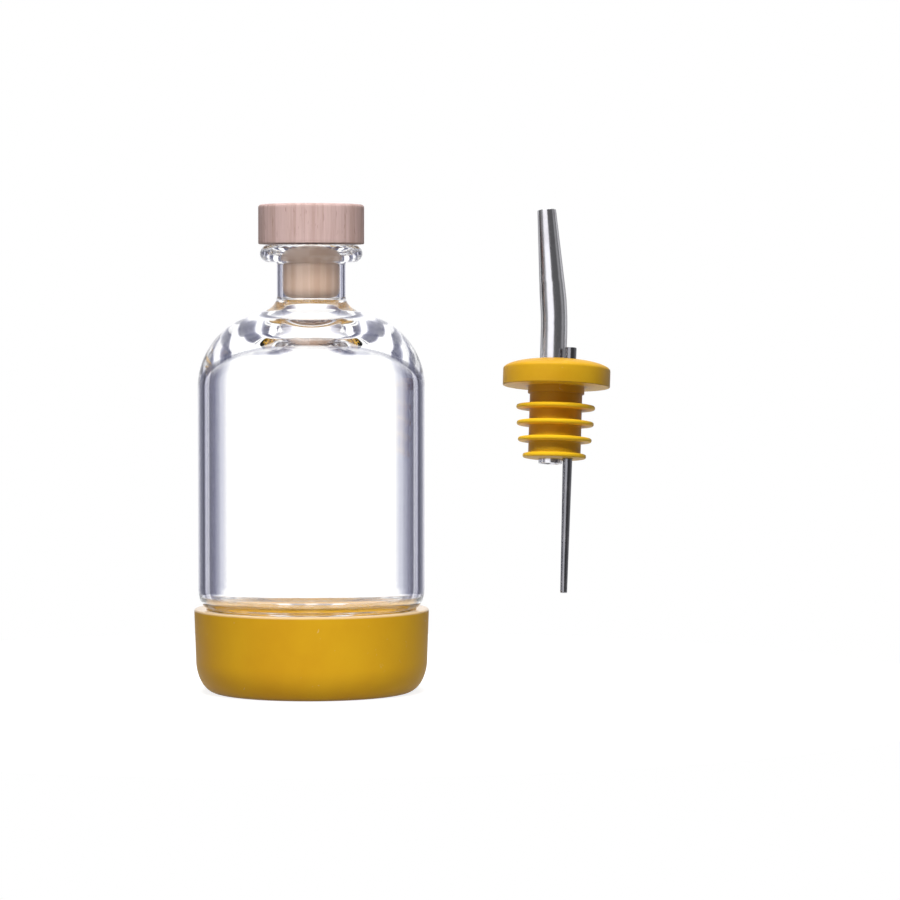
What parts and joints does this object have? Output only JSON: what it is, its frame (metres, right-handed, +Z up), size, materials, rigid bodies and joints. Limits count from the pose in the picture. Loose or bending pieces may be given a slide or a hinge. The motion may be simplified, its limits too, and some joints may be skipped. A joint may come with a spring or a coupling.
{
  "type": "infusion bottle",
  "caption": "Clear glass infusion bottle with a stepped foot in a soft mustard boot, a wooden-headed push-in stopper, and a finned steel pourer standing beside it.",
  "frame": {"origin": "middle of the boot's underside, on the bottle's axis, on the surface that it stands on", "axes": "+Z up along the bottle's axis, +X towards the pourer, -Y towards the picture's camera"},
  "size_m": [0.1457, 0.0822, 0.1706],
  "materials": {
    "mustard_silicone": "matt moulded silicone",
    "clear_glass": "clear, smooth",
    "pale_beech": "turned and sanded, unvarnished",
    "beige_rubber": "satin moulded",
    "mustard_bung_silicone": "satin moulded silicone",
    "polished_steel": "polished stainless steel"
  },
  "bodies": {
    "boot": {"silicone_boot": "mustard_silicone"},
    "bottle": {"glass_bottle": "clear_glass"},
    "stopper": {"stopper_head": "pale_beech", "stopper_plug": "beige_rubber"},
    "pourer": {"pourer_bung": "mustard_bung_silicone"},
    "spout": {"pour_spout": "polished_steel"},
    "air_tube": {"air_tube": "polished_steel"}
  },
  "joints": [
    {"name": "bottle_lift", "type": "slide", "parent": "boot", "child": "bottle", "axis": [0, 0, 1], "range_m": [0, 0.03]},
    {"name": "stopper_pull", "type": "slide", "parent": "bottle", "child": "stopper", "axis": [0, 0, 1], "range_m": [0, 0.03]},
    {"name": "pourer_lift", "type": "slide", "parent": "boot", "child": "pourer", "axis": [0.0312, 0.1132, 0.9931], "range_m": [0, 0.03]},
    {"name": "spout_draw", "type": "slide", "parent": "pourer", "child": "spout", "axis": [0.0312, 0.1132, 0.9931], "range_m": [0, 0.04]},
    {"name": "air_tube_draw", "type": "slide", "parent": "pourer", "child": "air_tube", "axis": [0.0312, 0.1132, 0.9931], "range_m": [0, 0.083]}
  ]
}
